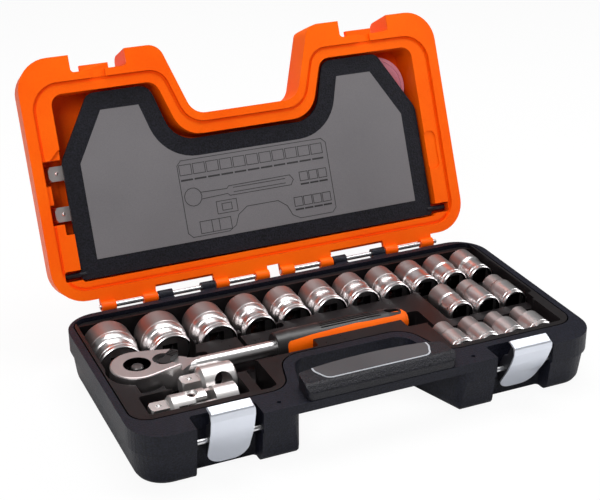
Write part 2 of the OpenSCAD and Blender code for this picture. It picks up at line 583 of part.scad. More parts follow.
ledge_reach = case_w / 2 - 9;  // pockets in the ledge run out to the wall of the shell
function lid_y(v) = hinge_y - v;
// A pocket in the left ledge of the lid, from v0 to v1 from the hinge
module ledge_slot(x0, v0, v1, depth) {
    slab(box_path(-x0, lid_y(v1), -cavity_side + 11, lid_y(v0), 1.5), base_h + 1, base_h + depth);
}
module lid_shell() color([0.95, 0.38, 0.04]) opened() {
    difference() {
        union() {
            loft(rim_path, concat([[0, base_h]], [for (i = [len(edge_rings) - 1:-1:0])
                [draft + edge_rings[i][0], lid_top - edge_rings[i][1]]]));
            for (s = [-1, 1]) for (k = lid_knuckles)
                knuckle(s > 0 ? k : -k - knuckle_l, knuckle_l, back - 3, knuckle_d / 2);
            // the back edge runs on to the rods between the knuckles of each pair
            for (s = [-1, 1]) for (f = flanges) translate([s > 0 ? f[0] : -f[1], back - 3, base_h])
                cube([f[1] - f[0], hinge_out + 3 - rod_d / 2 - 2 * fit, knuckle_d / 2]);
        }
        slab(ring_path, base_h - 1, lid_top - lid_wall);
        slab(recess_path, base_h - 1, lid_top + 1);
        loft(recess_core, concat(
            [for (i = [len(edge_rings) - 1:-1:0]) [-edge_rings[i][0], lid_top - edge_rings[i][1] + eps]],
            [[-edge_r - 1, lid_top + 1]]));
        // latch notches, with the catch posts left standing
        difference() {
            for (s = [-1, 1]) slab(box_path(s * latch_x - 24.5, front - 20, s * latch_x + 24.5, front + 14.8, 3),
                base_h - 1, lid_top + 1);
            for (s = [-1, 1]) translate([s * latch_x - 14.5, front + 9.3, base_h + 8]) cube([25, 10, 5]);
        }
        for (s = [-1, 1]) translate([s * latch_x - 7.5, front + 8, base_h - 1]) cube([12.4, 14, 3.4]);
        for (s = [-1, 1]) for (k = base_knuckles)
            at_hinge((s > 0 ? k : -k - knuckle_l) - 1, [knuckle_d + 3, knuckle_l + 2]);
        for (s = [-1, 1]) translate([s > 0 ? 57 : -110, back - 2.6, base_h - 1]) cube([53, 10, 7]);
        at_hinge(-case_w / 2, [rod_d + 2 * run, case_w]);
    }
}
// The lining frame: it fills the shell round the cavity, a groove parts it from the rim
module lid_lining() color([0.95, 0.38, 0.04]) opened() difference() {
    union() {
        slab(grown(ring_path, -fit / 2), base_h + groove_depth, lid_top - lid_wall);
        slab(grown(ring_path, -groove_w), base_h + ledge_depth, base_h + groove_depth + eps);
    }
    slab(cavity_path, base_h, lid_top - lid_wall + 1);
    // one low pocket along the ends of the bars, with a deeper one for each bar and for the fingers
    slab([[-ledge_reach, lid_y(bar_v[0] + 11), 1.5], [-cavity_side - 9.7, lid_y(bar_v[0] + 11), 1],
        [-cavity_side - 1.7, lid_y(bar_v[0] + 19), 1], [-cavity_side + 11, lid_y(bar_v[0] + 19), 1],
        [-cavity_side + 11, lid_y(bar_v[1] - 8.5), 1.5], [-ledge_reach, lid_y(bar_v[1] - 8.5), 1.5]],
        base_h + 1, base_h + 6);
    ledge_slot(ledge_reach, bar_v[0] - 10, bar_v[0] + 11, 33);
    ledge_slot(ledge_reach, bar_v[1] - 8.5, bar_v[1] + 9, 33);
    ledge_slot(cavity_side + 11.7, bar_v[1] + 8, bar_v[0] - 9, 33);
    ledge_slot(cavity_side + 6.7, bar_v[1] - 18, bar_v[1] - 7, 33);
    for (x = [-cavity_side - 1.2, cavity_side + 1.2])
        slab(box_path(x - 12.5, lid_y(pin_v + 4.5), x + 12.5, lid_y(pin_v - 4.5), 1.5), base_h + 1, base_h + 16);
    // shallow oval in the right ledge
    slab(box_path(cavity_side - 1, lid_y(103), cavity_side + 11, lid_y(67), 5.5), base_h, base_h + ledge_depth + 1);
}
panel_side = cavity_side - 2.1;
panel_path = mirrored([
    [-panel_side, back - 17.6, 3], [-panel_side, cavity_front + 56.5, 12],
    [-panel_side + 31.7, cavity_front + 2.2, 10],
    [-recess_edge(cavity_front, 22.5), cavity_front + 2.2, 12], [-recess_w - 18.5, recess_y + 20.6, 26]]);
module lid_panel() color([0.13, 0.13, 0.15]) opened() translate([panel_shift, 0, 0]) {
    slab(panel_path, base_h + panel_depth, base_h + panel_depth + panel_t);
    for (x = [-cavity_side - 11.7, panel_side - 4])
        translate([x, lid_y(pin_v), base_h + panel_depth + 1.6])
            rotate([0, 90, 0]) cylinder(d = panel_pin_d, h = 17.8, $fn = 32);
}
module panel_label() color([0.45, 0.43, 0.45]) opened() translate([panel_shift, 0, 0])
    slab(grown(panel_path, -15.5), base_h + panel_depth - 0.4, base_h + panel_depth);

module bar(v, l) color([0.75, 0.75, 0.76]) opened() translate([bar_x, lid_y(v), base_h + bar_depth]) difference() {
    union() {
        intersection() {
            translate([0, -drive / 2, -drive / 2]) cube([16, drive, drive]);
            rotate([0, 90, 0]) cylinder(r1 = drive * 0.55, r2 = drive * 0.55 + 20, h = 20, $fn = 48);
        }
        rotate([0, 90, 0]) translate([0, 0, 15]) cylinder(r = 7.6, h = 2, $fn = 48);
        rotate([0, 90, 0]) translate([0, 0, 16]) cylinder(r = 6, h = l - 30, $fn = 48);
        rotate([0, 90, 0]) translate([0, 0, l - 30]) cylinder(r1 = 6, r2 = 10.7, h = 6, $fn = 48);
        rotate([0, 90, 0]) translate([0, 0, l - 24]) cylinder(r = 10.7, h = 24, $fn = 48);
        translate([7, 0, -drive / 2 + 1.2]) sphere(r = 2, $fn = 24);
    }
    translate([l - 16, -drive / 2 - 0.15, -drive / 2 - 0.15]) cube([20, drive + 0.3, drive + 0.3]);
}
module long_bar() bar(bar_v[0], long_bar_l);
module short_bar() bar(bar_v[1], short_bar_l);
module lid_disc() color([0.9, 0.55, 0.62, 0.8]) opened()
    translate([cavity_side - 29.3, cavity_front + 31.5, base_h + 22]) difference() {
        cylinder(r = 27, h = 4, $fn = 64);
        translate([0, 0, -1]) cylinder(r = 24, h = 2.5, $fn = 64);
    }

// ---- handle ----
bar_top = base_h + handle_h;
handle_w = recess_edge(front, -handle_gap);
handle_back = recess_edge(front + handle_d - 4, -1.2);
handle_plan = concat(
    [[-handle_w, front + 0.5, 5], [handle_w, front + 0.5, 5], [handle_back, front + handle_d - 4, 4]],
    [for (i = [3:-1:-3]) [i * 16, front + handle_d + 1.5 - 5 * pow(i / 3.6, 2), 8]],
    [[-handle_back, front + handle_d - 4, 4]]);
module handle_solid(lift, plan_grow) {
    intersection() {
        slab(grown(handle_plan, plan_grow), base_h, bar_top + lift + 1);
        translate([-handle_w - 5, 0, 0]) rotate([90, 0, 90]) linear_extrude(2 * handle_w + 10)
            polygon(rounded([[front + 0.5, base_h, 0], [front + 40, base_h, 0], [front + 40, bar_top + lift, 0],
                [front + 6, bar_top + lift, 5], [front + 0.5, bar_top - 5, 3]]));
    }
}
pad_path = [[-43, front + 9.5, 6], [43, front + 9.5, 6], [48.5, front + 22, 8], [46, front + 60, 0],
    [-46, front + 60, 0], [-48.5, front + 22, 8]];
module carry_handle() color([0.1, 0.1, 0.1]) difference() {
    handle_solid(0, 0);
    slab(grown(pad_path, 1.5), bar_top - 3, bar_top + 5);
}
module handle_pad() color([0.3, 0.3, 0.31]) intersection() {
    handle_solid(0.5, 0);
    slab(pad_path, bar_top - 3, bar_top + 5);
}
module handle_trim() color([0.75, 0.77, 0.8]) intersection() {
    handle_solid(0.3, 0);
    difference() {
        slab(grown(pad_path, 1.5), bar_top - 3, bar_top + 5);
        slab(pad_path, bar_top - 4, bar_top + 6);
    }
}

// ---- latches: modelled closed, then swung out about the pin ----
plate_t = 1.2;
plate_lo = 8;
plate_hi = base_h + 13.6;
function plate_y(z) = let (u = (z - plate_lo) / (plate_hi - plate_lo))
    front + 4.5 - 5.5 * (1 - cos(180 * min(1, 1.35 * u))) / 2;
plate_face = front - 1;
crease_z = plate_hi - 5;      // the plate turns in above this line
plate_line = [for (i = [0:12]) let (z = plate_lo + (plate_hi - plate_lo) * i / 14) [plate_y(z), z]];
module swung(a) {
    translate([0, pivot_y, pivot_z]) rotate([a, 0, 0]) translate([0, -pivot_y, -pivot_z]) children();
}
module plate(x, a) color([0.82, 0.84, 0.88]) translate([x, 0, 0]) swung(a) intersection() {
    translate([-latch_w / 2, 0, 0]) rotate([90, 0, 90]) linear_extrude(latch_w)
        polygon(rounded(concat([for (i = [0:12]) [plate_line[i][0], plate_line[i][1], 0]],
            [[plate_face, crease_z, 0], [plate_face + 2.3, plate_hi + 1.1, 2.2],
            [front + 10.6, plate_hi + 0.7, 0.5], [front + 10.6, plate_hi - 0.5, 0],
            [plate_face + 2.9 + plate_t, plate_hi - 0.2, 0.9], [plate_face + plate_t, crease_z, 0]],
            [for (i = [12:-1:0]) [plate_line[i][0] + plate_t, plate_line[i][1], 0]])));
    rotate([90, 0, 0]) translate([0, 0, -big / 2]) linear_extrude(big)
        polygon(rounded([[-latch_w / 2 + 1, plate_lo, 12], [latch_w / 2 - 1, plate_lo, 12],
            [latch_w / 2, plate_hi + 1.2, 2.5], [-latch_w / 2, plate_hi + 1.2, 2.5]]));
}
module lever(x, a) color([0.12, 0.13, 0.16]) translate([x - latch_w / 2 + 2, 0, 0]) swung(a) difference() {
    rotate([90, 0, 90]) linear_extrude(latch_w - 4)
        polygon(concat([for (i = [2:12]) plate_line[i] + [plate_t, 0]],
            [[plate_face + plate_t, crease_z], [front + 8.6, crease_z + 2], [front + 8.6, base_h - 1],
            [front + 13, base_h - 6], [front + 13.5, pivot_z - 4], [front + 9, plate_lo + 6]]));
    translate([-1, pivot_y, pivot_z]) rotate([0, 90, 0]) cylinder(d = pin_d + 2 * run, h = latch_w, $fn = 32);
}
module latch_pin(x) color([0.8, 0.8, 0.82]) translate([x - notch_w / 2 - 5, pivot_y, pivot_z]) rotate([0, 90, 0])
    cylinder(d = pin_d, h = notch_w + 10, $fn = 32);
module latch_plate_left() plate(-latch_x, latch_left_open);
module latch_plate_right() plate(latch_x, latch_right_open);
module latch_lever_left() lever(-latch_x, latch_left_open);
module latch_lever_right() lever(latch_x, latch_right_open);
module latch_pin_left() latch_pin(-latch_x);
module latch_pin_right() latch_pin(latch_x);

base_shell();
tool_tray();
lid_shell();
lid_lining();
lid_panel();
panel_label();
hinge_rod_left();
hinge_rod_right();
carry_handle();
handle_pad();
handle_trim();
latch_lever_left();
latch_plate_left();
latch_pin_left();
latch_lever_right();
latch_plate_right();
latch_pin_right();
for (s = seats)
    color([0.7, 0.67, 0.67]) socket(s[0]);
ratchet_body();
ratchet_drive();
drive_ball();
release_button();
reverse_lever();
ratchet_pawl();
head_cap();
ratchet_grip();
grip_insert();
joint_drive_fork();
joint_cross();
joint_pins();
joint_side_pins();
joint_socket_fork();
sliding_head();
long_bar();
short_bar();
lid_disc();
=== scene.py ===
import json
import math

import bmesh
import bpy
from mathutils import Matrix, Vector


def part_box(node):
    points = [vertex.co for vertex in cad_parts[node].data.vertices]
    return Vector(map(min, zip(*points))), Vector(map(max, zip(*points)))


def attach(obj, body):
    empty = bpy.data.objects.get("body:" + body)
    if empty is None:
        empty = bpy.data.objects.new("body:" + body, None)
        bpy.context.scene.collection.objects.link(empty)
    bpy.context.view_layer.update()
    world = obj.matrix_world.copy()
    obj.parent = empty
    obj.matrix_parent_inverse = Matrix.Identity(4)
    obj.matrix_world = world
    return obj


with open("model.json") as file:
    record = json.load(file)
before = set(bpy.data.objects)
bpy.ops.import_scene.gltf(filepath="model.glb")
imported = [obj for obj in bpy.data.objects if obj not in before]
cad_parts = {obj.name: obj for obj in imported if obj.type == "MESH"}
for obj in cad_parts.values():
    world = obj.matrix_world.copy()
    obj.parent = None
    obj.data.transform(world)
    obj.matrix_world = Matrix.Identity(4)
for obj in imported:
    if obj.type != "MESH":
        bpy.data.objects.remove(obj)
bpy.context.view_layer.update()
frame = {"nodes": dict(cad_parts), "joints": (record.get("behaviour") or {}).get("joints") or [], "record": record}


# ---------------------------------------------------------------------------------------------
# Camera: stands to the left of the open case, a little above it, and looks down into the tray.
# A long lens keeps the case from spreading at the front.
# ---------------------------------------------------------------------------------------------
scene = bpy.context.scene
image_width_px = 600
lens_px = 1341.9
azimuth, elevation, roll = (math.radians(degrees) for degrees in (-23.85, 24.81, -0.42))
camera_place = Vector((-0.4159, -0.8861, 0.5682))

camera_data = bpy.data.cameras.new("camera")
camera_data.sensor_width = 36.0
camera_data.lens = lens_px * camera_data.sensor_width / image_width_px
camera_data.clip_end = 20.0
camera = bpy.data.objects.new("camera", camera_data)
scene.collection.objects.link(camera)
level = Vector((math.cos(azimuth), math.sin(azimuth), 0))
ahead = Vector((
    -math.sin(azimuth) * math.cos(elevation),
    math.cos(azimuth) * math.cos(elevation),
    -math.sin(elevation)))
upright = level.cross(ahead)
right = math.cos(roll) * level + math.sin(roll) * upright
up = math.cos(roll) * upright - math.sin(roll) * level
camera.matrix_world = Matrix((
    (right.x, up.x, -ahead.x, camera_place.x),
    (right.y, up.y, -ahead.y, camera_place.y),
    (right.z, up.z, -ahead.z, camera_place.z),
    (0, 0, 0, 1)))
scene.camera = camera


# ---------------------------------------------------------------------------------------------
# Studio: a white paper floor and three soft lamps: a wide one overhead, one from the front left
# and a weak one from the right. The world is dim on the object and white where it is seen.
# ---------------------------------------------------------------------------------------------
scene.view_settings.view_transform = "Standard"
world_on_object = 0.16
world_seen = 1.0
floor_half = 3.0
paper_tone = (0.88, 0.88, 0.88, 1)
paper_seen_white = 0.92
white = (1, 1, 1, 1)


def put(tree, kind, links=None, fixed=None, **settings):
    """Adds a node. Settings name its properties, or its inputs with _ for a space; links and
    fixed give an input, by name or number, the output that feeds it or the value it keeps."""
    made = tree.nodes.new("ShaderNode" + kind)
    for key, value in settings.items():
        if hasattr(made, key):
            setattr(made, key, value)
        else:
            made.inputs[key.replace("_", " ")].default_value = value
    for target, value in (fixed or {}).items():
        made.inputs[target].default_value = value
    for target, source in (links or {}).items():
        tree.links.new(source, made.inputs[target])
    return made


def area_lamp(name, place, target, size, power):
    """A soft box at a place, turned to its target; size is its width and height in metres."""
    lamp = bpy.data.lights.new(name, "AREA")
    lamp.shape = "RECTANGLE"
    lamp.size, lamp.size_y = size
    lamp.energy = power
    stand = bpy.data.objects.new(name, lamp)
    stand.location = place
    stand.rotation_euler = (Vector(target) - Vector(place)).to_track_quat("-Z", "Y").to_euler()
    scene.collection.objects.link(stand)


area_lamp("overhead_softbox", place=(0.15, 0.3, 1.5), target=(0, 0, 0.05), size=(1.5, 0.8), power=22)
area_lamp("front_left_softbox", place=(-1.1, -1.2, 1.4), target=(0, 0, 0.12), size=(0.8, 0.8), power=17)
area_lamp("right_fill", place=(1.5, -0.5, 0.9), target=(0, 0, 0.1), size=(0.5, 1.0), power=8)

world = bpy.data.worlds.new("studio")
world.use_nodes = True
scene.world = world
world_tree = world.node_tree
world_tree.nodes.clear()
path = put(world_tree, "LightPath")
seen = put(world_tree, "Math", operation="MAXIMUM",
           links={0: path.outputs["Is Camera Ray"], 1: path.outputs["Is Transmission Ray"]})
strength = put(world_tree, "MapRange", links={"Value": seen.outputs[0]},
               To_Min=world_on_object, To_Max=world_seen)
sky = put(world_tree, "Background", links={"Strength": strength.outputs[0]}, Color=white)
put(world_tree, "OutputWorld", links={"Surface": sky.outputs[0]})

floor_mesh = bpy.data.meshes.new("floor")
floor_corners = [(x * floor_half, y * floor_half, 0) for x, y in ((-1, -1), (1, -1), (1, 1), (-1, 1))]
floor_mesh.from_pydata(floor_corners, [], [(0, 1, 2, 3)])
floor = bpy.data.objects.new("floor", floor_mesh)
scene.collection.objects.link(floor)
floor_paint = bpy.data.materials.new("floor_paper")
floor_paint.use_nodes = True
floor_tree = floor_paint.node_tree
floor_tree.nodes.clear()
paper = put(floor_tree, "BsdfDiffuse", Color=paper_tone)
glow = put(floor_tree, "Emission", Color=white, Strength=1.0)
path = put(floor_tree, "LightPath")
shown = put(floor_tree, "Math", operation="MULTIPLY", links={0: path.outputs["Is Camera Ray"]},
            fixed={1: paper_seen_white})
blend = put(floor_tree, "MixShader",
            links={"Fac": shown.outputs[0], 1: paper.outputs[0], 2: glow.outputs[0]})
put(floor_tree, "OutputMaterial", links={"Surface": blend.outputs[0]})
floor_mesh.materials.append(floor_paint)


# ---------------------------------------------------------------------------------------------
# Base shell: charcoal polypropylene, injection moulded with a fine spark texture all over. Every
# corner of the mould leaves a small radius.
# ---------------------------------------------------------------------------------------------
nodes = frame["nodes"]
MM = 0.001


def grain_group():
    """Moulded texture: Height for a bump, Mottle for a slow change of tone, and Roughness."""
    group = bpy.data.node_groups.new("moulded_grain", "ShaderNodeTree")
    for name, value in (("Grain Size", 1.0), ("Roughness Base", 0.5), ("Roughness Spread", 0.1)):
        socket = group.interface.new_socket(name=name, in_out="INPUT", socket_type="NodeSocketFloat")
        socket.default_value = value
    for name in ("Height", "Mottle", "Roughness"):
        group.interface.new_socket(name=name, in_out="OUTPUT", socket_type="NodeSocketFloat")
    inside = group.nodes.new("NodeGroupInput")
    where = put(group, "TexCoord")
    per_metre = put(group, "Math", operation="DIVIDE", links={1: inside.outputs["Grain Size"]},
                    fixed={0: 1 / MM})
    pits = put(group, "TexNoise", links={"Vector": where.outputs["Object"], "Scale": per_metre.outputs[0]},
               Detail=2.0, Roughness=0.6)
    slow = put(group, "TexNoise", links={"Vector": where.outputs["Object"]}, Scale=14.0, Detail=3.0)
    both = put(group, "Math", operation="ADD", links={0: slow.outputs["Fac"], 1: pits.outputs["Fac"]})
    about_zero = put(group, "Math", operation="SUBTRACT", links={0: both.outputs[0]}, fixed={1: 1.0})
    roughness = put(group, "Math", operation="MULTIPLY_ADD", links={
        0: about_zero.outputs[0],
        1: inside.outputs["Roughness Spread"],
        2: inside.outputs["Roughness Base"]})
    outside = group.nodes.new("NodeGroupOutput")
    group.links.new(pits.outputs["Fac"], outside.inputs["Height"])
    group.links.new(slow.outputs["Fac"], outside.inputs["Mottle"])
    group.links.new(roughness.outputs[0], outside.inputs["Roughness"])
    return group


moulded_grain = grain_group()


def surface(name, metallic=0.0):
    """An empty material with its Principled shader and output."""
    material = bpy.data.materials.new(name)
    material.use_nodes = True
    tree = material.node_tree
    tree.nodes.clear()
    shader = put(tree, "BsdfPrincipled", Metallic=metallic)
    put(tree, "OutputMaterial", links={"Surface": shader.outputs[0]})
    return material, tree, shader


def grained(tree, shader, grain_mm, depth_mm):
    """Adds moulded grain to a shader as a bump and returns the group node."""
    grain = tree.nodes.new("ShaderNodeGroup")
    grain.node_tree = moulded_grain
    grain.inputs["Grain Size"].default_value = grain_mm
    bump = put(tree, "Bump", links={"Height": grain.outputs["Height"]},
               Strength=1.0, Distance=depth_mm * MM)
    tree.links.new(bump.outputs[0], shader.inputs["Normal"])
    return grain


def roughen(tree, shader, grain, roughness, spread):
    """Lets the grain vary the shader's roughness by spread about its base."""
    grain.inputs["Roughness Base"].default_value = roughness
    grain.inputs["Roughness Spread"].default_value = spread
    tree.links.new(grain.outputs["Roughness"], shader.inputs["Roughness"])


def ramp(tree, factor, *stops):
    """A blend between two colours over a factor; each stop is (position, colour)."""
    made = put(tree, "ValToRGB", links={"Fac": factor})
    for mark, (position, color) in zip(made.color_ramp.elements, stops):
        mark.position = position
        mark.color = (*color, 1)
    return made.outputs["Color"]


def moulding(name, dark, light, grain_mm, depth_mm, roughness, specular=0.5, speckle=0.3):
    """Moulded plastic: speckle is the share of the fine grain in the drift from dark to light."""
    dark_until, light_from = 0.36, 0.64
    material, tree, shader = surface(name)
    grain = grained(tree, shader, grain_mm, depth_mm)
    roughen(tree, shader, grain, roughness, spread=0.15)
    uneven = put(tree, "MixRGB", Fac=speckle,
                 links={1: grain.outputs["Mottle"], 2: grain.outputs["Height"]})
    tone = ramp(tree, uneven.outputs[0], (dark_until, dark), (light_from, light))
    tree.links.new(tone, shader.inputs["Base Color"])
    shader.inputs["Specular IOR Level"].default_value = specular
    return material


def dress(material, *names, edge_mm=0.0):
    """Gives CAD nodes a material and, where edge_mm is set, rounds their sharp edges by it."""
    join_within_mm = 0.002
    sharp_above_deg = 50
    for name in names:
        part = nodes[name]
        part.data.materials.clear()
        part.data.materials.append(material)
        if edge_mm:
            # the faces come in apart from each other, so they are joined before the rounding
            seam = part.modifiers.new("join_facets", "WELD")
            seam.merge_threshold = join_within_mm * MM
            rounding = part.modifiers.new("edge_radius", "BEVEL")
            rounding.width = edge_mm * MM
            rounding.segments = 2
            rounding.limit_method = "ANGLE"
            rounding.angle_limit = math.radians(sharp_above_deg)
            rounding.harden_normals = True


charcoal_shell = moulding(
    "charcoal_shell", dark=(0.001, 0.0012, 0.0035), light=(0.0105, 0.0115, 0.022),
    grain_mm=1.4, depth_mm=0.4, roughness=0.48, specular=0.22, speckle=0.85)
dress(charcoal_shell, "base_shell", edge_mm=0.5)


# ---------------------------------------------------------------------------------------------
# Tool tray: one vacuum-formed insert of smooth dark plastic, dropped into the base. Its pockets
# are deep, and their corners are soft from the forming.
# ---------------------------------------------------------------------------------------------
tray_plastic = moulding(
    "tray_plastic", dark=(0.0065, 0.0052, 0.0056), light=(0.0125, 0.01, 0.0108),
    grain_mm=3.0, depth_mm=0.02, roughness=0.32, specular=0.34)
dress(tray_plastic, "tool_tray", edge_mm=0.6)


# ---------------------------------------------------------------------------------------------
# Lid: an orange polypropylene shell with a lining frame of the same plastic fixed inside it. The
# finish is satin, and the groove between them takes the rim of the base.
# ---------------------------------------------------------------------------------------------
orange_shell = moulding(
    "orange_shell", dark=(0.97, 0.1, 0.0), light=(1.0, 0.135, 0.0),
    grain_mm=1.6, depth_mm=0.03, roughness=0.45, specular=0.14)
dress(orange_shell, "lid_shell", "lid_lining", edge_mm=0.6)


# ---------------------------------------------------------------------------------------------
# Hinge rods: two drawn steel rods pushed through the knuckles of lid and base. They are left
# bright, as they come from the die.
# ---------------------------------------------------------------------------------------------
def metal(name, color, roughness, spread=0.08, grain_mm=1.5, depth_mm=0.01):
    """Plated or bare steel: the tone and the roughness drift a little from place to place."""
    dull_until, bright_from = 0.25, 0.75
    dull = tuple(0.9 * channel for channel in color)
    material, tree, shader = surface(name, metallic=1.0)
    grain = grained(tree, shader, grain_mm, depth_mm)
    roughen(tree, shader, grain, roughness, spread)
    tone = ramp(tree, grain.outputs["Mottle"], (dull_until, dull), (bright_from, color))
    tree.links.new(tone, shader.inputs["Base Color"])
    return material


drawn_steel = metal("drawn_steel", color=(0.72, 0.72, 0.74), roughness=0.3)
dress(drawn_steel, "hinge_rod_left", "hinge_rod_right")


# ---------------------------------------------------------------------------------------------
# Lid panel: a grained black cover that lies in the lining and keeps the bars in. A grey
# printed sheet is stuck on its face.
# ---------------------------------------------------------------------------------------------
panel_plastic = moulding(
    "panel_plastic", dark=(0.001, 0.001, 0.002), light=(0.0115, 0.0115, 0.019),
    grain_mm=1.4, depth_mm=0.45, roughness=0.48, specular=0.24, speckle=0.85)
dress(panel_plastic, "lid_panel", edge_mm=0.5)
printed_sheet = moulding(
    "printed_sheet", dark=(0.148, 0.14, 0.148), light=(0.182, 0.172, 0.18),
    grain_mm=0.7, depth_mm=0.03, roughness=0.5, specular=0.3, speckle=0.6)
dress(printed_sheet, "panel_label")


# ---------------------------------------------------------------------------------------------
# Packing list on the sheet: plain outlines of the places in the set, printed in thin dark ink.
# All sizes are in mm: x along the lid, v up from its hinge, and depth in from its rim.
# ---------------------------------------------------------------------------------------------
lid_hinge = next(joint for joint in frame["joints"] if joint["name"] == "lid_hinge")
hinge_at = Vector(lid_hinge["pos_m"])
open_turn = Matrix.Rotation(math.radians(lid_hinge["range_deg"][0]), 4, "X")
ink_film = 0.12
sheet_depth = 5.1
sheet_shift = -1.2
thin = 0.55
bold = 1.5


def on_lid(x, v, depth):
    """A place on the open lid, in metres."""
    return hinge_at + (open_turn @ Vector((x * MM, -v * MM, depth * MM)))


def ink(bm, points, width, closed):
    """One printed line: a thin raised strip with square joints along the points."""
    ends = points + points[:1] if closed else points
    for (x0, v0), (x1, v1) in zip(ends, ends[1:]):
        along = Vector((x1 - x0, v1 - v0)).normalized() * width / 2
        side = Vector((-along.y, along.x))
        corners = (
            (x0, v0, -along - side),
            (x1, v1, along - side),
            (x1, v1, along + side),
            (x0, v0, side - along))
        low, high = (
            [bm.verts.new(on_lid(x + sheet_shift + out.x, v + out.y, depth)) for x, v, out in corners]
            for depth in (sheet_depth, sheet_depth - ink_film))
        bm.faces.new(high)
        bm.faces.new(low[::-1])
        for i in range(4):
            bm.faces.new((low[i], low[(i + 1) % 4], high[(i + 1) % 4], high[i]))


def box_line(left, foot, wide, high):
    """The four corners of a box drawn on the sheet."""
    return [(left, foot), (left + wide, foot), (left + wide, foot + high), (left, foot + high)]


def socket_row(count, left, foot, pitch, wide, high, mark_below, mark_inset):
    """A row of socket places: a thin box for each, with a bold mark below it."""
    row = []
    for i in range(count):
        x = left + i * pitch
        mark_v = foot - mark_below
        row.append((box_line(x, foot, wide, high), thin, True))
        row.append(([(x + mark_inset, mark_v), (x + wide - mark_inset, mark_v)], bold, False))
    return row


def ratchet_lines():
    """The ratchet's place: its round head, its shank and grip, and two lines along the grip."""
    head_x, head_v, head_radius, head_corners = -60, 79, 8, 15
    turns = [2 * math.pi * i / head_corners for i in range(head_corners)]
    head = [(head_x + head_radius * math.cos(a), head_v + head_radius * math.sin(a)) for a in turns]
    handle = [(-52, 82), (-28, 81.5), (-26, 83.5), (33, 84), (36, 79.5), (33, 75), (-26, 75), (-28, 77),
              (-52, 76)]
    grip_left, grip_right, grip_sides = -22, 28, (81.5, 77.5)
    grip = [([(grip_left, v), (grip_right, v)], thin, False) for v in grip_sides]
    return [(head, thin, True), (handle, thin, False)] + grip


def small_tool_lines():
    """The places of the sliding head, with its square, and of the joint, with its two forks."""
    slider = [
        (box_line(left=-40, foot=60.5, wide=19, high=11), thin, True),
        (box_line(left=-35, foot=63, wide=9, high=6), thin, True)]
    joint_left, joint_foot, joint_wide, joint_high = -58, 46, 29, 10.5
    fork_ends = (-47, -40)
    joint = [(box_line(joint_left, joint_foot, joint_wide, joint_high), thin, True)]
    for x in fork_ends:
        joint.append(([(x, joint_foot), (x, joint_foot + joint_high)], thin, False))
    return slider + joint


case_line = [
    (-70, 48), (-70, 108), (-66, 112), (69, 112), (73, 108), (73, 48), (69, 44), (37, 44),
    (30, 48), (26, 57), (18, 63), (-12, 63), (-21, 57), (-25, 48), (-32, 44), (-66, 44)]
small_row = {"pitch": 9.3, "wide": 8, "high": 8, "mark_below": 3, "mark_inset": 0.6}
printed_lines = [(case_line, thin, True)]
printed_lines += socket_row(11, left=-68.5, foot=99, pitch=12.6, wide=11, high=9, mark_below=4.5,
                            mark_inset=0.7)
printed_lines += socket_row(3, left=42.5, foot=77, **small_row)
printed_lines += socket_row(4, left=33.5, foot=55, **small_row)
printed_lines += ratchet_lines() + small_tool_lines()

dark_ink = moulding(
    "dark_ink", dark=(0.03, 0.028, 0.03), light=(0.045, 0.042, 0.045),
    grain_mm=0.5, depth_mm=0.02, roughness=0.5, specular=0.3)
outlines_bm = bmesh.new()
for points, width, closed in printed_lines:
    ink(outlines_bm, points, width, closed)
bmesh.ops.recalc_face_normals(outlines_bm, faces=outlines_bm.faces)
outlines_mesh = bpy.data.meshes.new("printed_outlines")
outlines_bm.to_mesh(outlines_mesh)
outlines_bm.free()
outlines_mesh.materials.append(dark_ink)
outlines = bpy.data.objects.new("printed_outlines", outlines_mesh)
scene.collection.objects.link(outlines)
bodies = frame["record"]["behaviour"]["bodies"]
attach(outlines, next(body for body, held in bodies.items() if "panel_label" in held))


# ---------------------------------------------------------------------------------------------
# Disc: a round pink plastic piece with a smooth moulded finish. It sits behind the panel, in a
# corner of the lid.
# ---------------------------------------------------------------------------------------------
pink_plastic = moulding(
    "pink_plastic", dark=(0.86, 0.36, 0.46), light=(0.93, 0.44, 0.55),
    grain_mm=1.5, depth_mm=0.02, roughness=0.3)
dress(pink_plastic, "lid_disc")


# ---------------------------------------------------------------------------------------------
# Extension bars: turned from chrome vanadium steel and plated bright all over. They lie behind
# the panel with their square ends in the pockets of the lining.
# ---------------------------------------------------------------------------------------------
bright_plate = metal("bright_plate", color=(0.88, 0.85, 0.84), roughness=0.4, grain_mm=0.8,
                     depth_mm=0.003)
dress(bright_plate, "long_bar", "short_bar")


# ---------------------------------------------------------------------------------------------
# Carrying handle: a coarse-grained black bar with a smooth soft pad let into its top, framed by
# a thin light trim.
# ---------------------------------------------------------------------------------------------
handle_plastic = moulding(
    "handle_plastic", dark=(0.001, 0.001, 0.002), light=(0.013, 0.013, 0.02),
    grain_mm=1.2, depth_mm=0.6, roughness=0.42, specular=0.34, speckle=0.9)
dress(handle_plastic, "carry_handle", edge_mm=0.8)
handle_pad_rubber = moulding(
    "handle_pad_rubber", dark=(0.05, 0.048, 0.052), light=(0.07, 0.068, 0.073),
    grain_mm=0.7, depth_mm=0.04, roughness=0.46)
dress(handle_pad_rubber, "handle_pad", edge_mm=0.5)
handle_trim_plastic = moulding(
    "handle_trim_plastic", dark=(0.38, 0.4, 0.43), light=(0.47, 0.49, 0.53),
    grain_mm=1.5, depth_mm=0.02, roughness=0.3)
dress(handle_trim_plastic, "handle_trim", edge_mm=0.3)


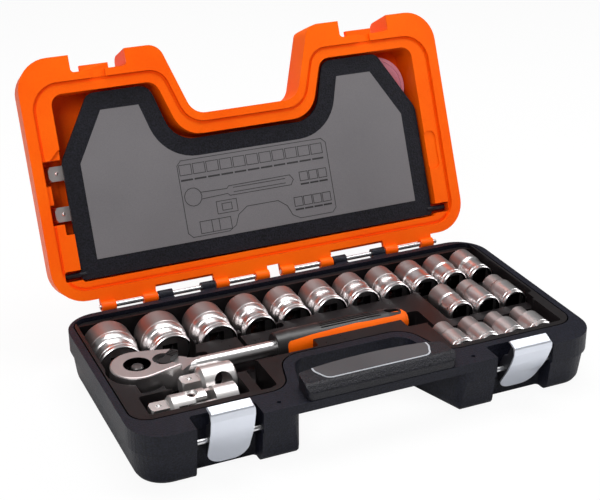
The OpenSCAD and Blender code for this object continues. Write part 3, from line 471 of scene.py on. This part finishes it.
# ---------------------------------------------------------------------------------------------
# Latches: a pressed steel plate with a satin silver finish on a black moulded lever. The lever
# swings on a drawn steel pin in the front of the base.
# ---------------------------------------------------------------------------------------------
satin_silver = metal("satin_silver", color=(0.74, 0.77, 0.84), roughness=0.45, spread=0.1, grain_mm=2.5,
                     depth_mm=0.02)
dress(satin_silver, "latch_plate_left", "latch_plate_right", edge_mm=0.6)
lever_plastic = moulding(
    "lever_plastic", dark=(0.007, 0.007, 0.011), light=(0.012, 0.012, 0.016),
    grain_mm=1.2, depth_mm=0.08, roughness=0.5)
dress(lever_plastic, "latch_lever_left", "latch_lever_right", edge_mm=0.6)
dress(drawn_steel, "latch_pin_left", "latch_pin_right")


# ---------------------------------------------------------------------------------------------
# Sockets: forged and plated. The barrel at the hex end is left satin, the shoulder and the drive
# end are polished, and painted shade darkens the bores.
# ---------------------------------------------------------------------------------------------
def plate_finish(tree, shader, grain, tone, bore_shade, bore_shade_tone, mask, roughness, drift):
    """Paints shade over the tone in a bore, and takes the roughness from a mask with a slow drift on it."""
    # painted shade: the bore's faces take a near-black colour in place of the missing light
    darkened = put(tree, "MixRGB", links={0: bore_shade, 1: tone}, fixed={2: bore_shade_tone})
    tree.links.new(darkened.outputs[0], shader.inputs["Base Color"])
    masked = put(tree, "MapRange", links={"Value": mask}, To_Min=roughness[0], To_Max=roughness[1])
    drifting = put(tree, "Math", operation="MULTIPLY_ADD",
                   links={0: grain.outputs["Mottle"], 2: masked.outputs[0]}, fixed={1: drift})
    tree.links.new(drifting.outputs[0], shader.inputs["Roughness"])


def socket_finish():
    """Generated coordinates run from 0 at the drive end to 1 at the hex end, along Y."""
    polish_ends, satin_starts = 0.5, 0.6
    dark_until, light_from = 0.3, 0.7
    satin_dark, satin_light = (0.36, 0.315, 0.31), (0.44, 0.395, 0.39)
    polished = (0.8, 0.77, 0.77, 1)
    turned_inward, turned_outward = -0.12, -0.03
    material, tree, shader = surface("socket_plate", metallic=1.0)
    grain = grained(tree, shader, grain_mm=0.5, depth_mm=0.003)
    where = put(tree, "TexCoord")
    place = put(tree, "SeparateXYZ", links={0: where.outputs["Generated"]})
    polish = put(tree, "MapRange", links={"Value": place.outputs["Y"]},
                 From_Min=polish_ends, From_Max=satin_starts, To_Min=1.0, To_Max=0.0)
    satin = ramp(tree, grain.outputs["Mottle"], (dark_until, satin_dark), (light_from, satin_light))
    steel = put(tree, "MixRGB", links={0: polish.outputs[0], 1: satin}, fixed={2: polished})
    # a face of the bore looks back at the socket's own axis, and these faces get painted shade
    from_middle = put(tree, "VectorMath", operation="SUBTRACT", links={0: where.outputs["Generated"]},
                      fixed={1: (0.5, 0.5, 0.5)})
    from_axis = put(tree, "VectorMath", operation="MULTIPLY", links={0: from_middle.outputs[0]},
                    fixed={1: (1, 0, 1)})
    facing = put(tree, "VectorMath", operation="DOT_PRODUCT",
                 links={0: from_axis.outputs[0], 1: where.outputs["Normal"]})
    bore_shade = put(tree, "MapRange", links={"Value": facing.outputs["Value"]},
               From_Min=turned_inward, From_Max=turned_outward, To_Min=1.0, To_Max=0.0)
    # the bore faces are painted near black as shade
    plate_finish(tree, shader, grain, tone=steel.outputs[0], bore_shade=bore_shade.outputs[0],
                 bore_shade_tone=(0.012, 0.011, 0.012, 1), mask=polish.outputs[0], roughness=(0.4, 0.27),
                 drift=0.06)
    return material


dress(socket_finish(), *[name for name in nodes if name.startswith("socket_")])


# ---------------------------------------------------------------------------------------------
# Ratchet: a forged body, satin on the face of the head and polished on its flanks and shank. The
# drive sits deep in a bore darkened by painted shade, a black lever reverses it, and the grip is
# of two plastics.
# ---------------------------------------------------------------------------------------------
def ratchet_finish():
    """The face of the head is the top of the body, and its bore stands over the drive."""
    low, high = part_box("ratchet_body")
    head_top = high[2]
    head_radius = (high[1] - low[1]) / 2
    drive_middle = (low[0] + head_radius, (high[1] + low[1]) / 2, 0)
    bevel_below, face_below = 1.3 * MM, 0.9 * MM
    bore_radius, bore_rim_radius = 10.85 * MM, 10.95 * MM
    polished, satin = (0.84, 0.82, 0.82, 1), (0.5, 0.435, 0.43, 1)
    material, tree, shader = surface("ratchet_plate", metallic=1.0)
    grain = grained(tree, shader, grain_mm=0.6, depth_mm=0.003)
    where = put(tree, "TexCoord")
    place = put(tree, "SeparateXYZ", links={0: where.outputs["Object"]})
    face = put(tree, "MapRange", links={"Value": place.outputs["Z"]},
               From_Min=head_top - bevel_below, From_Max=head_top - face_below)
    steel = put(tree, "MixRGB", links={0: face.outputs[0]}, fixed={1: polished, 2: satin})
    flat = put(tree, "CombineXYZ", links={"X": place.outputs["X"], "Y": place.outputs["Y"]})
    # the body's faces within the bore's radius get painted shade
    away = put(tree, "VectorMath", operation="DISTANCE", links={0: flat.outputs[0]},
               fixed={1: drive_middle})
    bore_shade = put(tree, "MapRange", links={"Value": away.outputs["Value"]},
               From_Min=bore_radius, From_Max=bore_rim_radius, To_Min=1.0, To_Max=0.0)
    plate_finish(tree, shader, grain, tone=steel.outputs[0], bore_shade=bore_shade.outputs[0],
                 bore_shade_tone=(0.02, 0.019, 0.02, 1), mask=face.outputs[0], roughness=(0.27, 0.42),
                 drift=0.05)
    return material


dress(ratchet_finish(), "ratchet_body")
black_steel = metal("black_steel", color=(0.02, 0.019, 0.02), roughness=0.32)
dress(black_steel, "ratchet_drive", "head_cap")
grey_steel = metal("grey_steel", color=(0.2, 0.19, 0.19), roughness=0.35)
dress(grey_steel, "release_button", "ratchet_pawl")
bright_ball = metal("bright_ball", color=(0.8, 0.8, 0.8), roughness=0.15)
dress(bright_ball, "drive_ball")
black_grip = moulding(
    "black_grip", dark=(0.013, 0.0115, 0.012), light=(0.02, 0.018, 0.0185),
    grain_mm=1.0, depth_mm=0.05, roughness=0.36)
dress(black_grip, "ratchet_grip", "reverse_lever")
orange_grip = moulding(
    "orange_grip", dark=(0.97, 0.12, 0.0), light=(1.0, 0.155, 0.0),
    grain_mm=0.8, depth_mm=0.05, roughness=0.45, specular=0.2)
dress(orange_grip, "grip_insert")


# ---------------------------------------------------------------------------------------------
# Universal joint and sliding head: plated bright like the bars. The joint's two forks turn on a
# grey steel cross that is held by pins, and the sliding head has a cross hole for a bar.
# ---------------------------------------------------------------------------------------------
dress(bright_plate, "joint_drive_fork", "joint_socket_fork", "sliding_head")
dress(grey_steel, "joint_cross")
pin_steel = metal("pin_steel", color=(0.3, 0.29, 0.29), roughness=0.3)
dress(pin_steel, "joint_pins", "joint_side_pins")
